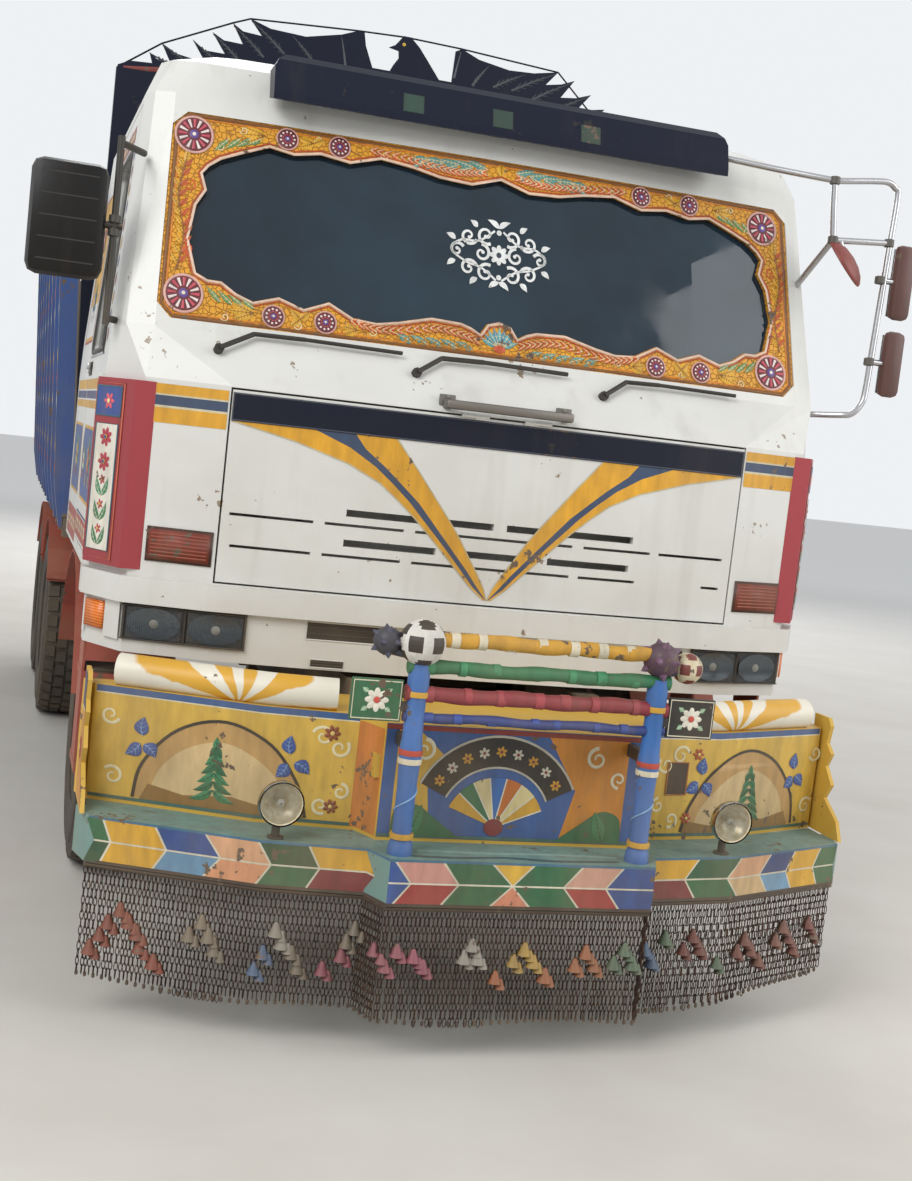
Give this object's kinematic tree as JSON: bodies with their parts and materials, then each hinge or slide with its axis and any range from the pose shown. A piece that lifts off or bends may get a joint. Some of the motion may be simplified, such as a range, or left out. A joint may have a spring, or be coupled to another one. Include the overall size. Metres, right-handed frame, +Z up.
{
  "type": "decorated tipper truck",
  "caption": "Cab-over tipper truck with a painted bumper, carved windscreen frame, hanging chain fringe, steering and rolling wheels, opening doors and a tipping bed.",
  "frame": {"origin": "on the ground under the middle of the truck's box", "axes": "+Z up, -Y the way the truck drives, +X to the right of someone who faces its front"},
  "size_m": [3, 7.706, 3.555],
  "materials": {
    "cab_white": "glossy white cab paint",
    "cab_inside": "dark cab floor and dash",
    "frame_black": "dusty black chassis paint",
    "engine_iron": "oily iron",
    "tank_paint": "painted tanks",
    "guard_paint": "pink and red painted guards",
    "glass": "dark tinted glass",
    "carved_yellow": "carved and painted frame",
    "visor_navy": "dark navy paint",
    "black_plastic": "black plastic",
    "corner_maroon": "maroon corner panels",
    "lamp_glass": "lamp lenses",
    "seat_cloth": "dark red seat cloth",
    "bumper_paint": "hand painted bumper",
    "chain_steel": "dark hanging chains",
    "tube_steel": "plated tube",
    "tyre": "dusty tyre rubber",
    "rim_paint": "red painted rims",
    "bed_paint": "painted and worn load bed"
  },
  "bodies": {
    "chassis": {"cab_front": "cab_white", "cab_sides": "cab_white", "cab_rear": "cab_white", "cab_roof": "cab_white", "cab_floor": "cab_inside", "dashboard": "cab_inside", "chassis_frame": "frame_black", "driveline": "frame_black", "leaf_springs": "frame_black", "front_axle": "frame_black", "tail_bar": "frame_black", "engine": "engine_iron", "tanks": "tank_paint", "mudguards": "guard_paint", "cab_steps": "guard_paint", "windscreen": "glass", "screen_frame": "carved_yellow", "visor": "visor_navy", "wipers": "black_plastic", "mirror_left": "black_plastic", "corner_panels": "corner_maroon", "front_lamps": "lamp_glass", "seats": "seat_cloth", "bumper_band": "bumper_paint", "bumper_panels": "bumper_paint", "bull_bar": "bumper_paint", "chain_fringe": "chain_steel", "mirror_right": "tube_steel", "grab_handle": "tube_steel"},
    "wheel_front_left": {"tyre_front_left": "tyre", "rim_front_left": "rim_paint"},
    "wheel_front_right": {"tyre_front_right": "tyre", "rim_front_right": "rim_paint"},
    "wheel_mid_left": {"tyre_mid_left": "tyre", "rim_mid_left": "rim_paint"},
    "wheel_mid_right": {"tyre_mid_right": "tyre", "rim_mid_right": "rim_paint"},
    "wheel_rear_left": {"tyre_rear_left": "tyre", "rim_rear_left": "rim_paint"},
    "wheel_rear_right": {"tyre_rear_right": "tyre", "rim_rear_right": "rim_paint"},
    "lid": {"front_lid": "cab_white"},
    "door_body_left": {"door_left": "cab_white", "door_glass_left": "glass"},
    "steer_left": {"knuckle_left": "frame_black"},
    "door_body_right": {"door_right": "cab_white", "door_glass_right": "glass"},
    "steer_right": {"knuckle_right": "frame_black"},
    "track_rod_body": {"track_rod": "frame_black"},
    "bed": {"bed_floor": "bed_paint", "bed_beams": "bed_paint", "bed_sides": "bed_paint", "headboard": "visor_navy"},
    "tailgate_body": {"tailgate": "bed_paint"},
    "barrel_body": {"hoist_barrel": "frame_black"},
    "ram_body": {"hoist_rod": "tube_steel"}
  },
  "joints": [
    {"name": "lid_hinge", "type": "hinge", "parent": "chassis", "child": "lid", "pos_m": [0, -3.206, 1.839], "axis": [-1, 0, 0], "range_deg": [0, 75]},
    {"name": "door_left_hinge", "type": "hinge", "parent": "chassis", "child": "door_body_left", "pos_m": [-1.233, -2.817, 1.6], "axis": [0, 0, 1], "range_deg": [0, 65]},
    {"name": "door_right_hinge", "type": "hinge", "parent": "chassis", "child": "door_body_right", "pos_m": [1.233, -2.817, 1.6], "axis": [0, 0, -1], "range_deg": [0, 65]},
    {"name": "steer_left", "type": "hinge", "parent": "chassis", "child": "steer_left", "pos_m": [-0.83, -1.87, 0.525], "axis": [0, 0, 1], "range_deg": [-33, 33]},
    {"name": "steer_right", "type": "hinge", "parent": "chassis", "child": "steer_right", "pos_m": [0.83, -1.87, 0.525], "axis": [0, 0, 1], "range_deg": [-33, 33]},
    {"name": "track_rod_slide", "type": "slide", "parent": "chassis", "child": "track_rod_body", "axis": [-1, 0, 0], "range_m": [-0.115, 0.115]},
    {"name": "wheel_front_left_spin", "type": "hinge", "parent": "steer_left", "child": "wheel_front_left", "pos_m": [-1.03, -1.87, 0.525], "axis": [1, 0, 0], "continuous": true},
    {"name": "wheel_front_right_spin", "type": "hinge", "parent": "steer_right", "child": "wheel_front_right", "pos_m": [1.03, -1.87, 0.525], "axis": [1, 0, 0], "continuous": true},
    {"name": "wheel_mid_left_spin", "type": "hinge", "parent": "chassis", "child": "wheel_mid_left", "pos_m": [-1.085, 1.05, 0.525], "axis": [1, 0, 0], "continuous": true},
    {"name": "wheel_mid_right_spin", "type": "hinge", "parent": "chassis", "child": "wheel_mid_right", "pos_m": [1.085, 1.05, 0.525], "axis": [1, 0, 0], "continuous": true},
    {"name": "wheel_rear_left_spin", "type": "hinge", "parent": "chassis", "child": "wheel_rear_left", "pos_m": [-1.085, 2.35, 0.525], "axis": [1, 0, 0], "continuous": true},
    {"name": "wheel_rear_right_spin", "type": "hinge", "parent": "chassis", "child": "wheel_rear_right", "pos_m": [1.085, 2.35, 0.525], "axis": [1, 0, 0], "continuous": true},
    {"name": "bed_tilt", "type": "hinge", "parent": "chassis", "child": "bed", "pos_m": [0, 3.33, 1.06], "axis": [-1, 0, 0], "range_deg": [0, 45]},
    {"name": "tailgate_hinge", "type": "hinge", "parent": "bed", "child": "tailgate_body", "pos_m": [0, 3.82, 2.63], "axis": [1, 0, 0], "range_deg": [0, 60]},
    {"name": "barrel_swing", "type": "hinge", "parent": "chassis", "child": "barrel_body", "pos_m": [0, 0.4, 0.86], "axis": [1, 0, 0], "range_deg": [0, 27]},
    {"name": "ram_slide", "type": "slide", "parent": "barrel_body", "child": "ram_body", "axis": [0, 0.9864, 0.1644], "range_m": [0, 0.9]}
  ],
  "couplings": [
    {"joint": "steer_right", "follows": "steer_left", "ratio": 1},
    {"joint": "track_rod_slide", "follows": "steer_left", "m_per_rad": 0.19385},
    {"joint": "barrel_swing", "follows": "bed_tilt", "ratio": 0.592},
    {"joint": "ram_slide", "follows": "bed_tilt", "m_per_rad": 1.142}
  ]
}
